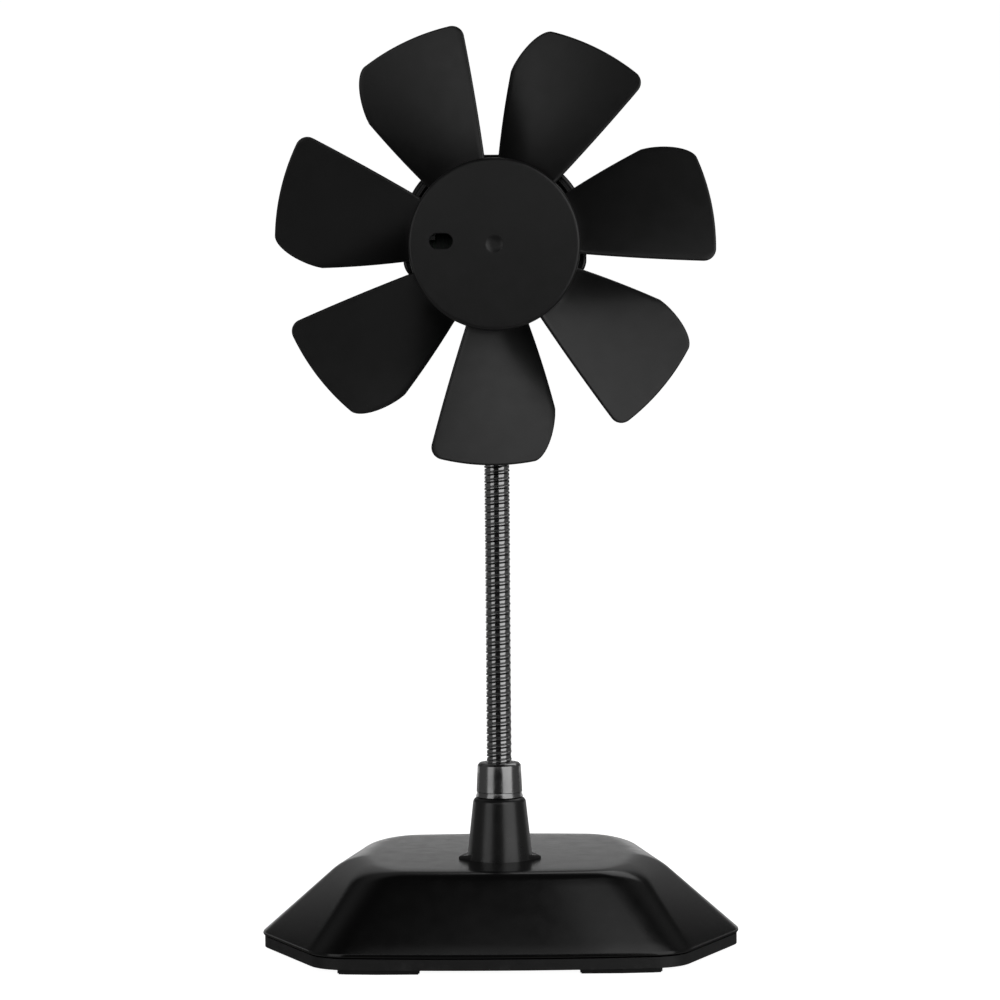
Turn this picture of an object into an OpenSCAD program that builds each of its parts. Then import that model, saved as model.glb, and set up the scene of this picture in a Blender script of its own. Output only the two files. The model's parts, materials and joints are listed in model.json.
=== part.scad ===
// Desk fan: an open seven-blade impeller on a gooseneck that stands on a low six-sided weighted base.
// The fan blows towards -Y, up is +Z, and the origin is on the ground under the middle of the base.

/* [Base] */
// Width of the base between its two side corners
base_w = 120; // [110:1:130]
// Depth of the base through the middle of its front and rear edges
base_d = 91; // [88:1:96]
// Half width of the front and rear edges, measured to the corners
base_corner_x = 44; // [40:1:46]
// How far in front of the middle the two side corners lie
side_forward = 5.5; // [0:0.5:8]
// How far the front and rear edges bulge beyond their corners
edge_bulge = 3; // [1:0.5:4]
// Height of the flat top of the base
plateau_z = 24; // [22:0.1:27]
// Half width of the flat top at its side corners
plateau_side_x = 38.6; // [36:0.1:44]
// Half width of the flat top's front and rear edges
plateau_corner_x = 33.2; // [30:0.1:36]
// Half depth of the flat top at its corners
plateau_corner_y = 33.5; // [31:0.5:35]
// Wall thickness of the cover
cover_wall = 2.2; // [1.8:0.1:2.6]
// How far the rubber feet stand below the bottom plate
foot_h = 1.3; // [1:0.1:2]
// Width of a rubber foot
foot_w = 20; // [14:1:22]

/* [Neck] */
// How far in front of the base's middle the neck stands
neck_forward = 12; // [10:0.5:14]
// Outer radius of the wound gooseneck
neck_r = 3.175; // [3:0.025:3.2]
// Height where the bending length of the gooseneck begins
flex_z0 = 48.2; // [47:0.1:50]
// Height where the bending length of the gooseneck ends
flex_z1 = 137; // [136:0.5:142]
// Number of hinges that the bending length is divided into
hinge_count = 8; // [8]
// Largest bend at one hinge, in degrees
hinge_bend = 18; // [10:1:18]
// Wire turns between two hinges
turns_per_link = 6; // [4:1:7]

/* [Fan] */
// Height of the fan's axis
fan_z = 177; // [176:0.5:180]
// Radius of the blade tips
tip_r = 54; // [53:0.1:56]
// Radius of the impeller's hub
hub_r = 21; // [20.8:0.1:21.2]
// Distance of the hub's front face in front of the base's middle
hub_front = 34; // [33:0.5:35]
// Number of blades
blade_count = 7; // [5:1:7]
// Blade thickness at the hub
blade_t = 1.5; // [1.2:0.1:1.8]

/* [Hidden] */
$fn = 64;
eps = 0.01;

// Bottom plate, parting gap and cover heights
plate_t = 2.7;
plate_top = foot_h + plate_t;
parting_gap = 0.3;
cover_z0 = plate_top + parting_gap;
ceiling_z = plateau_z - cover_wall;
base_corner_y = base_d / 2 - edge_bulge;
foot_pos = [29.5, 36];
foot_d = 13;
post_pos = [36, 20];
post_r = 3;
screw_core_r = 1.4;

// Ballast slab and the plate studs that locate it
ballast = [62, 47, 8];
ballast_y = -2.5;
ballast_screw_x = 22;

// Rear face of the cover, on which the switch sits, leaning forward by slope_deg
slope_run = base_corner_y - plateau_corner_y;
slope_deg = atan2(slope_run, plateau_z - cover_z0);
switch_x = 21;
switch_mid_z = (plateau_z + cover_z0) / 2;
switch_mid_y = base_d / 2 - 1.1 - slope_run / 2;
bezel_low = -0.5;
rocker_off_deg = 8;
rocker_pivot_z = -1.5;
rocker_pin_r = 0.7;

// Cable inlet in the middle of the rear
inlet_z = 9.8;
inlet_bore_r = 1.9;
inlet_y0 = 38.6;
inlet_face_y = 43.6;
grommet_r = 3;
clamp_y = 31;
clamp_x = 6.5;
clamp_z = inlet_z + 2;

// Ferrules at both ends of the gooseneck
ferrule_h = 8.6;
ferrule_z0 = flex_z0 - ferrule_h;
stud_r = 4;
lead_bore_r = 1.9;
socket_r = neck_r + 0.03;
socket_depth = 7;

// Links of the gooseneck: every wire turn is one ring
link_len = (flex_z1 - flex_z0) / hinge_count;
wire_pitch = link_len / turns_per_link;
wire_r = wire_pitch / 2 * 0.99;
neck_bore_r = 1.6;

// Depths along the fan's axis, counted forwards from the base's middle
hub_rim = 20.5;
housing_front = 19.5;
housing_back = 5;
cap_back = -3.5;
housing_wall = 1.3;
shaft_r = 1.5;
bearing_r = 1.52;
tube_r = 4;
tube_bore_r = 2.75;
tube_front = 31;
tube_back = 16.6;
stator_r = 16.2;
stator_front = 29.6;
stator_back = 24.6;
cap_post = [14, 5];
housing_floor_z = fan_z - 16;

// ---------------------------------------------------------------- helpers

// A straight side from a to b, bulged outwards by sag
function bulged_side(a, b, sag, n = 12) =
    let (d = b - a, out = [d[1], -d[0]] / norm(d))
    [for (i = [0 : n - 1]) let (t = i / n) a + t * d + 4 * t * (1 - t) * sag * out];

// Six-sided outline with straight sides and bulged front and rear edges, listed anticlockwise
function six_sides(side_x, corner_x, corner_y, sag) =
    let (v = [[side_x, -side_forward], [corner_x, corner_y], [-corner_x, corner_y],
              [-side_x, -side_forward], [-corner_x, -corner_y], [corner_x, -corner_y]],
         sags = [0, sag, 0, 0, sag, 0])
    [for (i = [0 : 5]) each bulged_side(v[i], v[(i + 1) % 6], sags[i])];

module rounded_outline(points, r, inset = 0) {
    offset(r = r) offset(delta = -r - inset) polygon(points);
}

// Outline of the base at the ground, shrunk all round by inset
module base_outline(inset = 0) {
    rounded_outline(six_sides(base_w / 2 + 0.8, base_corner_x, base_corner_y, edge_bulge), 10.5, inset);
}

// Outline of the flat top, shrunk all round by inset
module plateau_outline(inset = 0) {
    rounded_outline(six_sides(plateau_side_x, plateau_corner_x, plateau_corner_y, edge_bulge), 11.3, inset);
}

module slab(z, h) {
    translate([0, 0, z]) linear_extrude(h) children();
}

// Solid with the outer shape of the cover, shrunk by inset on every side but its bottom
module cover_form(inset = 0) {
    low_z = inset > 0 ? cover_z0 - 1 : cover_z0;
    hull() {
        slab(low_z, 1.4) base_outline(inset);
        slab(plateau_z - inset - 1.6, eps) plateau_outline(inset * 1.2 - 1.2);
        slab(plateau_z - inset - 0.5, eps) plateau_outline(inset * 1.2 - 0.3);
        slab(plateau_z - inset - eps, eps) plateau_outline(inset * 1.2 + 0.8);
    }
}

module at_corners(pos) {
    for (sx = [-1, 1], sy = [-1, 1]) translate([sx * pos[0], sy * pos[1], 0]) children();
}

module on_neck_axis() {
    translate([0, -neck_forward, 0]) children();
}

// Fan space: X to the right, Y up, Z forwards out of the hub
module fan_space() {
    translate([0, 0, fan_z]) rotate([90, 0, 0]) children();
}

// Switch space: Z out of the cover's rear face, Y down along it
module switch_space() {
    translate([switch_x, switch_mid_y, switch_mid_z]) rotate([slope_deg - 90, 0, 0]) children();
}

module ring(r_out, r_in, z0, z1) {
    translate([0, 0, z0]) difference() {
        cylinder(r = r_out, h = z1 - z0);
        translate([0, 0, -1]) cylinder(r = r_in, h = z1 - z0 + 2);
    }
}

module box_between(low, high) {
    translate(low) cube(high - low);
}

// Pan-head screw along +Z with its head's underside at z = 0 and the head below it
module pan_screw(head_r, head_h, core_r, length) {
    translate([0, 0, -head_h]) difference() {
        cylinder(r = head_r, h = head_h);
        for (a = [0, 90]) rotate([0, 0, a])
            translate([-head_r * 0.6, -0.35, -1]) cube([head_r * 1.2, 0.7, 1 + head_h * 0.5]);
    }
    cylinder(r = core_r, h = length);
}

module rod(a, b, r) {
    d = b - a;
    translate(a) rotate([0, acos(d[2] / norm(d)), atan2(d[1], d[0])]) cylinder(r = r, h = norm(d), $fn = 8);
}

// Insulated wire through a list of points
module wire(points, r = 0.65) {
    for (i = [0 : len(points) - 2]) rod(points[i], points[i + 1], r);
    for (i = [1 : len(points) - 2]) translate(points[i]) sphere(r = r * 1.1, $fn = 8);
}

module hex_nut(across_flats, bore_r, h) {
    difference() {
        cylinder(r = across_flats / sqrt(3), h = h, $fn = 6);
        translate([0, 0, -1]) cylinder(r = bore_r, h = h + 2);
    }
}

// ---------------------------------------------------------------- base

module inlet_boss(r, y0, y1) {
    translate([0, y0, inlet_z]) rotate([-90, 0, 0]) cylinder(r = r, h = y1 - y0);
}

module base_cover() {
    color([0.07, 0.07, 0.075]) difference() {
        union() {
            difference() {
                cover_form();
                cover_form(cover_wall);
            }
            intersection() {
                cover_form();
                at_corners(post_pos) ring(post_r, screw_core_r + 0.05, plate_top, plateau_z - 2.5);
            }
            inlet_boss(4.5, inlet_y0, inlet_face_y);
        }
        inlet_boss(grommet_r, inlet_y0 - 1, inlet_face_y + 1);
        on_neck_axis() translate([0, 0, ceiling_z - 1]) cylinder(r = stud_r + 0.1, h = cover_wall + 2);
        switch_space() {
            box_between([-4.5, -6.6, -6], [4.5, 6.6, 4]);
            box_between([-5.5, -7.7, bezel_low - 0.05], [5.5, 7.7, 4]);
        }
    }
}

module base_plate() {
    color([0.05, 0.05, 0.05]) difference() {
        union() {
            slab(foot_h, plate_t) base_outline(0.4);
            for (sx = [-1, 1]) {
                translate([sx * ballast_screw_x, ballast_y, plate_top - 1]) cylinder(r = 3, h = 5);
                translate([sx * clamp_x, clamp_y, plate_top - 1]) cylinder(r = 2.4, h = clamp_z - plate_top + 1);
            }
            box_between([-2.4, clamp_y - 2.5, plate_top - 1], [2.4, clamp_y + 2.5, inlet_z - 2]);
        }
        slab(0, foot_h + 1) foot_pads(0.1);
        at_corners(post_pos) {
            cylinder(r = 2.9, h = foot_h + 1.8);
            cylinder(r = 1.7, h = plate_top + 1);
        }
        for (sx = [-1, 1]) {
            translate([sx * ballast_screw_x, ballast_y, foot_h + 1]) cylinder(r = screw_core_r, h = 10);
            translate([sx * clamp_x, clamp_y, plate_top + 1]) cylinder(r = 0.9, h = 10);
        }
    }
}

// Outlines of the four feet, which follow the base's corners, grown all round by gap
module foot_pads(gap = 0) {
    offset(delta = gap) intersection() {
        base_outline(1.6);
        at_corners(foot_pos) square([foot_w, foot_d], center = true);
    }
}

module rubber_feet() {
    color([0.03, 0.03, 0.03]) {
        slab(0, 0.3) foot_pads(-0.3);
        slab(0.3, foot_h + 0.7) foot_pads();
    }
}

module cover_screws() {
    color("silver") at_corners(post_pos)
        translate([0, 0, foot_h + 1.8]) pan_screw(2.6, 1.5, screw_core_r, 9);
}

module ballast_weight() {
    color([0.35, 0.35, 0.37]) difference() {
        translate([-ballast[0] / 2, ballast_y - ballast[1] / 2, plate_top]) cube(ballast);
        for (sx = [-1, 1]) translate([sx * ballast_screw_x, ballast_y, plate_top]) {
            translate([0, 0, -1]) cylinder(r = 3.1, h = 5.1);
            cylinder(r = 1.7, h = ballast[2] + 1);
        }
    }
}

module ballast_screws() {
    color("silver") for (sx = [-1, 1])
        translate([sx * ballast_screw_x, ballast_y, plate_top + ballast[2]])
            mirror([0, 0, 1]) pan_screw(2.9, 1.7, screw_core_r, 9);
}

// Tapered column round the foot of the neck, with a small pointed tab on its left and right
module neck_boot() {
    boot_h = ferrule_z0 - plateau_z;
    r_foot = 8.2;
    r_top = 6.65;
    shoulder = 1.5;
    tab_tip = 10.3;
    color([0.06, 0.06, 0.065]) on_neck_axis() translate([0, 0, plateau_z]) {
        difference() {
            union() {
                rotate_extrude() {
                    polygon([[0, 0], [r_foot, 0], [r_top, boot_h - shoulder],
                             [r_top - shoulder, boot_h], [0, boot_h]]);
                    translate([r_top - shoulder, boot_h - shoulder]) circle(r = shoulder, $fn = 32);
                }
                linear_extrude(0.9) polygon([[tab_tip, 0], [7, 4], [-7, 4], [-tab_tip, 0], [-7, -4], [7, -4]]);
            }
            translate([0, 0, -1]) cylinder(r = stud_r + 0.1, h = boot_h + 2);
        }
    }
}

// Turned ferrule with a collar, a socket for the gooseneck and a hollow stud, standing on z = 0
module ferrule(stud_length) {
    r_lip = 5.87;
    r_foot = 5.72;
    r_mouth = 5.45;
    difference() {
        union() {
            rotate_extrude() polygon([[0, 0], [r_lip, 0], [r_lip, 0.25], [r_foot - 0.15, 1.2], [r_foot, 1.3],
                                      [r_mouth, ferrule_h - 0.6], [r_mouth - 0.6, ferrule_h], [0, ferrule_h]]);
            translate([0, 0, -stud_length]) cylinder(r = stud_r, h = stud_length + 1);
        }
        translate([0, 0, -stud_length - 1]) cylinder(r = lead_bore_r, h = stud_length + ferrule_h + 2);
        translate([0, 0, ferrule_h - socket_depth]) cylinder(r = socket_r, h = socket_depth + 1);
    }
}

module lower_ferrule() {
    color([0.25, 0.25, 0.26]) on_neck_axis() translate([0, 0, ferrule_z0]) ferrule(ferrule_z0 - 15.5);
}

module lower_washer() {
    color("silver") on_neck_axis() ring(6.8, stud_r + 0.1, ceiling_z - 0.8, ceiling_z);
}

module lower_nut() {
    color("silver") on_neck_axis() translate([0, 0, ceiling_z - 4.6]) hex_nut(11, stud_r + 0.02, 3.8);
}

// ---------------------------------------------------------------- switch and inlet

module switch_body() {
    color([0.05, 0.05, 0.05]) switch_space() difference() {
        union() {
            box_between([-5.3, -7.5, bezel_low], [5.3, 7.5, 1.2]);
            box_between([-4.3, -6.4, -9], [4.3, 6.4, bezel_low + 0.1]);
        }
        box_between([-3.5, -5.9, -6], [3.5, 5.9, 2]);
        translate([-6, 0, rocker_pivot_z]) rotate([0, 90, 0]) cylinder(r = rocker_pin_r + 0.04, h = 12);
    }
}

module switch_terminals() {
    color([0.75, 0.6, 0.3]) switch_space() {
        for (y = [-4, 0.4]) box_between([-1.2, y, -12], [1.2, y + 0.6, -9]);
        box_between([-1.2, -4, -6], [1.2, 1, -5.6]);
    }
}

// Rocker in its off position, turned about the pins that carry it
module rocker_button() {
    color([0.09, 0.09, 0.09]) switch_space() translate([0, 0, rocker_pivot_z]) rotate([rocker_off_deg, 0, 0]) {
        rotate([90, 0, 90]) translate([0, 0, -3.2]) linear_extrude(6.4)
            polygon([[-5.2, 2.6], [0, 1.9], [5.2, 2.6], [5.2, 0.2], [3.2, -2.2], [-3.2, -2.2], [-5.2, 0.2]]);
        translate([-4.1, 0, 0]) rotate([0, 90, 0]) cylinder(r = rocker_pin_r, h = 8.2);
    }
}

module cable_grommet() {
    color([0.04, 0.04, 0.04]) difference() {
        union() {
            inlet_boss(grommet_r - 0.02, inlet_y0, inlet_face_y);
            inlet_boss(4, inlet_face_y, inlet_face_y + 1.2);
        }
        inlet_boss(inlet_bore_r, inlet_y0 - 1, inlet_face_y + 2);
    }
}

module cord_clamp() {
    color([0.3, 0.3, 0.3]) difference() {
        box_between([-clamp_x - 2.6, clamp_y - 2.5, clamp_z], [clamp_x + 2.6, clamp_y + 2.5, clamp_z + 2.2]);
        for (sx = [-1, 1]) translate([sx * clamp_x, clamp_y, clamp_z - 1]) cylinder(r = 1.1, h = 5);
    }
}

module clamp_screws() {
    color("silver") for (sx = [-1, 1])
        translate([sx * clamp_x, clamp_y, clamp_z + 2.2]) mirror([0, 0, 1]) pan_screw(1.9, 1.2, 0.9, 7);
}

// Two leads from the foot of the neck: one to the switch, one to the sleeve by the cord clamp
module base_leads() {
    color([0.6, 0.08, 0.06]) wire([[0.8, -neck_forward, 20], [0.8, -neck_forward, 14.6],
        [5, 8, 14.6], [15, 19, 15.4], [18.5, 23.4, 11.4]]);
    color([0.02, 0.02, 0.02]) wire([[-0.8, -neck_forward, 20], [-0.8, -neck_forward, 14.2],
        [-2, 6, 14.6], [-1.2, 17, 15.2], [-1.2, 26, 11.4]]);
}

// Heat-shrink sleeves over the joints in the leads
module lead_sleeves() {
    color([0.1, 0.1, 0.1]) difference() {
        union() {
            rod([15.7, 19.88, 14.6], [16.93, 21.42, 13.2], 1.1);
            rod([-1.2, 18.2, 14.69], [-1.2, 22.4, 12.92], 1.1);
        }
        rod([14.3, 18.12, 16.2], [17.45, 22.08, 12.6], 0.8);
        rod([-1.2, 17.2, 15.12], [-1.2, 23.4, 12.5], 0.8);
    }
}

// ---------------------------------------------------------------- gooseneck

function hinge_z(k) = flex_z0 + (k - 0.5) * link_len;

// Wound wire between two heights, cut to a shallow cone at each end that meets a hinge
module wound_neck(z0, z1, cut_low, cut_high) {
    first = ceil((z0 - flex_z0) / wire_pitch - 0.5);
    last = floor((z1 - flex_z0) / wire_pitch - 0.5);
    rise = 4 * tan(hinge_bend / 2 + 1.2);
    color([0.16, 0.16, 0.17]) on_neck_axis() rotate_extrude() difference() {
        union() {
            translate([neck_bore_r, z0]) square([neck_r - wire_r - neck_bore_r, z1 - z0]);
            intersection() {
                translate([neck_bore_r, z0]) square([4, z1 - z0]);
                for (i = [first : last])
                    translate([neck_r - wire_r, flex_z0 + (i + 0.5) * wire_pitch]) circle(r = wire_r, $fn = 24);
            }
        }
        if (cut_low) polygon([[0, z0 - 1], [0, z0 + 0.1], [4, z0 + 0.1 + rise], [4, z0 - 1]]);
        if (cut_high) polygon([[0, z1 + 1], [0, z1 - 0.1], [4, z1 - 0.1 - rise], [4, z1 + 1]]);
    }
}

module neck_root() {
    wound_neck(flex_z0 - socket_depth, hinge_z(1), false, true);
}

module neck_link(k) {
    wound_neck(hinge_z(k), hinge_z(k + 1), true, true);
}

module neck_end() {
    wound_neck(hinge_z(hinge_count), flex_z1 + socket_depth, true, false);
}

// ---------------------------------------------------------------- head

module upper_ferrule() {
    color([0.25, 0.25, 0.26]) on_neck_axis() translate([0, 0, flex_z1 + ferrule_h])
        mirror([0, 0, 1]) ferrule(housing_floor_z + 4.4 - flex_z1 - ferrule_h);
}

module upper_nut() {
    color("silver") on_neck_axis() translate([0, 0, housing_floor_z]) hex_nut(11, stud_r + 0.02, 3.4);
}

// Arc of a circle from angle a to angle b
function arc(centre, r, a, b, n = 8) =
    [for (i = [0 : n]) let (t = a + (b - a) * i / n) centre + r * [cos(t), sin(t)]];

// Outline of the motor housing: a rounded square above, tapering to the neck below.
// Three circles on the right are joined by tangents, and the left is their mirror image.
function housing_points(inset) =
    let (top = [4.6, 4.4], top_r = 18,
         side = [17.6, -3.6], side_r = 5,
         low = [0, -13.2], low_r = 7.5,
         d = side - low,
         taper = atan2(d[1], d[0]) - acos((low_r - side_r) / norm(d)),
         right = concat(arc(low, low_r - inset, -90, taper), arc(side, side_r - inset, taper, 0),
                        arc(top, top_r - inset, 0, 90, 16)),
         n = len(right))
    concat(right, [for (i = [n - 1 : -1 : 1]) [-right[i][0], right[i][1]]]);

module housing_outline(inset = 0) {
    polygon(housing_points(inset));
}

module motor_housing() {
    stem_z0 = flex_z1 + ferrule_h;
    stem_h = fan_z - 18 - stem_z0;
    lead_hole_y = -9;
    color([0.06, 0.06, 0.065]) difference() {
        union() {
            fan_space() slab(housing_back, housing_front - housing_back) housing_outline();
            on_neck_axis() translate([0, 0, stem_z0]) rotate_extrude()
                polygon([[0, 0], [5.7, 0], [6.5, 0.8], [7.2, stem_h], [0, stem_h]]);
        }
        difference() {
            fan_space() slab(housing_back - 1, housing_front - housing_back + 1 - housing_wall)
                housing_outline(housing_wall);
            box_between([-12, -30, stem_z0], [12, 5, housing_floor_z]);
            fan_space() for (s = [-1, 1]) translate([s * cap_post[0], cap_post[1], housing_back + 1.5])
                cylinder(r = 2.8, h = housing_front - housing_back - 1.5 - housing_wall / 2);
        }
        on_neck_axis() translate([0, 0, stem_z0 - 1]) cylinder(r = stud_r + 0.02, h = 18);
        fan_space() {
            cylinder(r = tube_r + 0.02, h = housing_front + 1);
            translate([0, lead_hole_y, housing_back]) cylinder(r = 2, h = housing_front);
            for (s = [-1, 1]) translate([s * cap_post[0], cap_post[1], housing_back])
                cylinder(r = screw_core_r, h = 9);
        }
    }
}

// Domed solid with the outer shape of the rear cap, shrunk all round by inset
module cap_form(inset = 0) {
    depth = housing_back - cap_back;
    steps = 5;
    hull() for (i = [0 : steps]) let (a = 90 * i / steps)
        slab(housing_back - 0.2 - eps - (depth - 0.2 - inset) * sin(a), eps)
            housing_outline(inset + 4.2 * (1 - cos(a)));
}

module rear_cap() {
    color([0.06, 0.06, 0.065]) fan_space() difference() {
        union() {
            difference() {
                union() {
                    difference() {
                        cap_form();
                        cap_form(housing_wall);
                    }
                    slab(housing_back - 1.2, 0.9) housing_outline(housing_wall / 2);
                    slab(housing_back - 1, 2.5) housing_outline(housing_wall + 0.1);
                }
                slab(housing_back - 2, 5) housing_outline(housing_wall + 1);
                slab(housing_back - 0.25, 5) translate([-13, -25]) square([26, 9.3]);
            }
            intersection() {
                cap_form();
                for (s = [-1, 1]) translate([s * cap_post[0], cap_post[1], cap_back]) cylinder(r = 3.6, h = 12);
            }
            for (s = [-1, 1]) translate([s * cap_post[0], cap_post[1], housing_back - 1]) cylinder(r = 2.8, h = 2.4);
        }
        for (s = [-1, 1]) translate([s * cap_post[0], cap_post[1], cap_back - 1]) {
            cylinder(r = 2.7, h = 4.5);
            cylinder(r = 1.6, h = 20);
        }
    }
}

module cap_screws() {
    color("silver") fan_space() for (s = [-1, 1])
        translate([s * cap_post[0], cap_post[1], cap_back + 3.5]) pan_screw(2.5, 1.6, screw_core_r, 12);
}

module bearing_tube() {
    color([0.75, 0.6, 0.3]) fan_space() difference() {
        union() {
            translate([0, 0, tube_back]) cylinder(r = tube_r, h = tube_front - tube_back);
            translate([0, 0, tube_back]) cylinder(r = 5.6, h = housing_front - housing_wall - tube_back);
        }
        translate([0, 0, tube_back + 0.8]) cylinder(r = tube_bore_r, h = 20);
    }
}

module thrust_plate() {
    color("white") fan_space() translate([0, 0, tube_back + 0.8]) cylinder(r = tube_bore_r - 0.02, h = 0.6);
}

module sleeve_bearing() {
    color([0.55, 0.42, 0.25]) fan_space() ring(tube_bore_r - 0.01, bearing_r, 20.2, 30.2);
}

module stator_poles() {
    difference() {
        union() {
            circle(r = 7.4);
            for (a = [45 : 90 : 315]) rotate(a) translate([0, -2]) square([15, 4]);
            difference() {
                circle(r = stator_r);
                circle(r = stator_r - 1.6);
                for (a = [0 : 90 : 270]) rotate(a) translate([10, -1.3]) square([10, 2.6]);
            }
        }
        circle(r = tube_r + 0.02);
    }
}

module stator_core() {
    color([0.45, 0.45, 0.48]) fan_space() slab(stator_back, stator_front - stator_back) stator_poles();
}

module stator_insulators() {
    color([0.85, 0.85, 0.8]) fan_space() for (z = [stator_back - 0.8, stator_front])
        slab(z, 0.8) difference() {
            union() {
                circle(r = 7.4);
                for (a = [45 : 90 : 315]) rotate(a) translate([0, -2.2]) square([14.4, 4.4]);
            }
            circle(r = tube_r + 0.1);
        }
}

module stator_windings() {
    half_l = (stator_front - stator_back) / 2 + 0.85;
    mid = (stator_front + stator_back) / 2;
    color([0.7, 0.35, 0.15]) fan_space() for (a = [45 : 90 : 315]) rotate([0, 0, a]) difference() {
        box_between([8.4, -3.6, mid - half_l - 1], [13.8, 3.6, mid + half_l + 1]);
        box_between([8, -2.25, mid - half_l], [14, 2.25, mid + half_l]);
    }
}

module driver_board() {
    color([0.1, 0.3, 0.15]) fan_space() difference() {
        ring(16, tube_r + 0.1, 21.2, 22.2);
        translate([0, -9, 20]) cylinder(r = 2, h = 4);
    }
}

module board_parts() {
    color([0.08, 0.08, 0.08]) fan_space() translate([0, 0, 20.2]) {
        translate([-9.5, 5, 0]) cube([5, 4, 1]);
        translate([4, 6, 0]) cube([3, 1.6, 1]);
        translate([7, -2, 0]) cube([1.8, 3, 1]);
        translate([9.5, 3, 0]) cylinder(r = 1.6, h = 1);
    }
}

// Two leads from the driver board, through the housing's wall and down into the upper ferrule
module motor_leads() {
    foot_z = flex_z1 + socket_depth + 1;
    for (s = [-1, 1]) color(s > 0 ? [0.6, 0.08, 0.06] : [0.02, 0.02, 0.02])
        wire([[s * 0.8, -21.6, fan_z - 9], [s * 0.8, -17, fan_z - 9],
              [s * 0.8, -neck_forward, fan_z - 11], [s * 0.8, -neck_forward, foot_z]]);
}

// ---------------------------------------------------------------- rotor

// Blade outline as the angle, clockwise from the blade's middle line, of each edge at radius r
corner_r0 = tip_r - 2.95;
knee_r = tip_r - 11.15;
function round_off(t) = 1 - sqrt(max(0, 1 - t * t));
function clockwise_edge(r) =
    18.9 - 0.054 * (r - hub_r) - (r > corner_r0 ? 3.3 * round_off((r - corner_r0) / (tip_r - corner_r0)) : 0);
function anticlockwise_edge(r) =
    -23.4 + 0.132 * (r - hub_r) + (r > knee_r ? 8.5 * pow(round_off((r - knee_r) / (tip_r - knee_r)), 0.6) : 0);

// Helical blade surface: it steps forwards by blade_step for each clockwise degree
blade_mid = 27.5;
blade_step = 0.285;
blade_camber = 1;
blade_rows = concat([for (i = [0 : 4]) hub_r - 0.9 + i * (knee_r - hub_r + 0.9) / 4],
    [for (i = [1 : 6]) knee_r + (tip_r - knee_r) * sin(90 * i / 6)]);
blade_cols = 7;

function blade_point(r, s, side) =
    let (cw = clockwise_edge(r),
         acw = anticlockwise_edge(r),
         phi = acw + s * (cw - acw),
         step = blade_step * 180 / PI,
         z = blade_mid + blade_step * phi - blade_camber * 4 * s * (1 - s),
         t = (blade_t - 0.4 * (r - hub_r) / (tip_r - hub_r)) / 2 * (0.55 + 0.45 * sin(180 * s)),
         l = sqrt(r * r + step * step),
         e_r = [sin(phi), cos(phi), 0],
         e_phi = [cos(phi), -sin(phi), 0],
         n = ([0, 0, r] - step * e_phi) / l)
    r * e_r + [0, 0, z] + side * t * n;

module blade() {
    rows = len(blade_rows);
    count = rows * blade_cols;
    points = [for (side = [1, -1], r = blade_rows, j = [0 : blade_cols - 1])
        blade_point(r, j / (blade_cols - 1), side)];
    function at(layer, i, j) = layer * count + i * blade_cols + j;
    last_i = rows - 1;
    last_j = blade_cols - 1;
    quads = concat(
        [for (i = [0 : last_i - 1], j = [0 : last_j - 1]) each [
            [at(0, i, j), at(0, i, j + 1), at(0, i + 1, j + 1)], [at(0, i, j), at(0, i + 1, j + 1), at(0, i + 1, j)],
            [at(1, i, j), at(1, i + 1, j + 1), at(1, i, j + 1)], [at(1, i, j), at(1, i + 1, j), at(1, i + 1, j + 1)]]],
        [for (i = [0 : last_i - 1]) each [
            [at(0, i, 0), at(0, i + 1, 0), at(1, i + 1, 0)], [at(0, i, 0), at(1, i + 1, 0), at(1, i, 0)],
            [at(0, i, last_j), at(1, i + 1, last_j), at(0, i + 1, last_j)],
            [at(0, i, last_j), at(1, i, last_j), at(1, i + 1, last_j)]]],
        [for (j = [0 : last_j - 1]) each [
            [at(0, 0, j), at(1, 0, j + 1), at(0, 0, j + 1)], [at(0, 0, j), at(1, 0, j), at(1, 0, j + 1)],
            [at(0, last_i, j), at(0, last_i, j + 1), at(1, last_i, j + 1)],
            [at(0, last_i, j), at(1, last_i, j + 1), at(1, last_i, j)]]]);
    polyhedron(points = points, faces = [for (f = quads) [f[0], f[2], f[1]]], convexity = 6);
}

// Cup-shaped hub, closed in front, with a rounded edge, a shaft boss and a balancing slot
module hub_cup() {
    edge_r = 0.8;
    wall = 1.4;
    face_t = 1.6;
    slot_pos = [-13, 0.85];
    slot_r = 1.85;
    slot_half = 0.95;
    difference() {
        union() {
            rotate_extrude() difference() {
                union() {
                    translate([0, hub_rim]) square([hub_r, hub_front - hub_rim - edge_r]);
                    translate([0, hub_rim]) square([hub_r - edge_r, hub_front - hub_rim]);
                    translate([hub_r - edge_r, hub_front - edge_r]) circle(r = edge_r, $fn = 32);
                }
                translate([-1, hub_rim - 1]) square([hub_r - wall + 1, hub_front - hub_rim + 1 - face_t]);
            }
            translate([0, 0, tube_front + 0.4]) cylinder(r = 3.6, h = hub_front - tube_front - 1);
        }
        cylinder(r = shaft_r, h = hub_front - 0.7);
        translate([0, 0, hub_front - 0.2]) cylinder(r = 2, h = 1);
        translate([slot_pos[0], slot_pos[1], 0]) {
            for (s = [-1, 1]) translate([s * slot_half, 0, 0]) cylinder(r = slot_r, h = 50);
            translate([-slot_half, -slot_r, 0]) cube([2 * slot_half, 2 * slot_r, 50]);
        }
    }
}

// The hub with its blades; the first blade points down, a little past the neck
module impeller() {
    color([0.045, 0.045, 0.048]) fan_space() {
        hub_cup();
        for (i = [0 : blade_count - 1]) rotate([0, 0, 179.4 + i * 360 / blade_count]) difference() {
            blade();
            cylinder(r = hub_r - 0.7, h = 50);
        }
    }
}

module rotor_yoke() {
    color([0.5, 0.5, 0.52]) fan_space() ring(hub_r - 1.45, hub_r - 2.35, 21.6, 32.3);
}

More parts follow.
